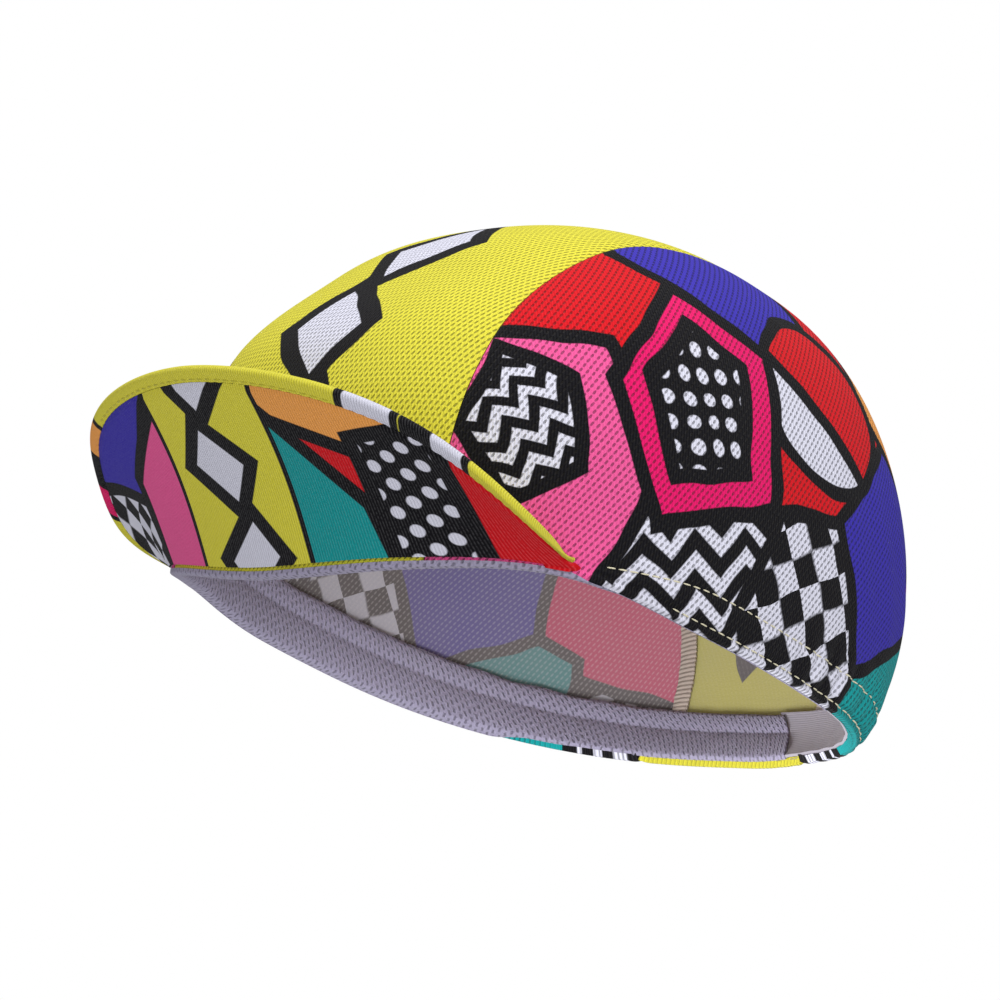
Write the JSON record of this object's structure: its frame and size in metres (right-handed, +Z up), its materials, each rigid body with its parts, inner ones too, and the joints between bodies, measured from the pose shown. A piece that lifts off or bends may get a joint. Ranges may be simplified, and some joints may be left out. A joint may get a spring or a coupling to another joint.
{
  "type": "cycling cap",
  "caption": "Soft cloth cycling cap with a close dome crown of side and centre panels, a short peak turned up at the front, a knitted sweatband and an elastic at the back.",
  "frame": {"origin": "the middle of the head opening, in the plane of the rim", "axes": "+Z up through the crown, -Y the wearer's front, +X the wearer's left"},
  "size_m": [0.178, 0.2257, 0.1248],
  "materials": {
    "yellow_cloth": "matt eyelet knit, printed yellow",
    "printed_cloth": "matt eyelet knit, printed in blocks of many colours with black outlines",
    "seam_tape": "ribbed woven tape",
    "grey_knit": "soft padded knit",
    "grey_elastic": "smooth woven elastic with fine ribs"
  },
  "bodies": {
    "root": {"centre_panel": "yellow_cloth", "left_panel": "printed_cloth", "right_panel": "printed_cloth", "left_seam_tape": "seam_tape", "right_seam_tape": "seam_tape", "peak_top_cover": "yellow_cloth", "peak_under_cover": "printed_cloth", "sweatband": "grey_knit", "back_elastic": "grey_elastic"}
  },
  "joints": []
}
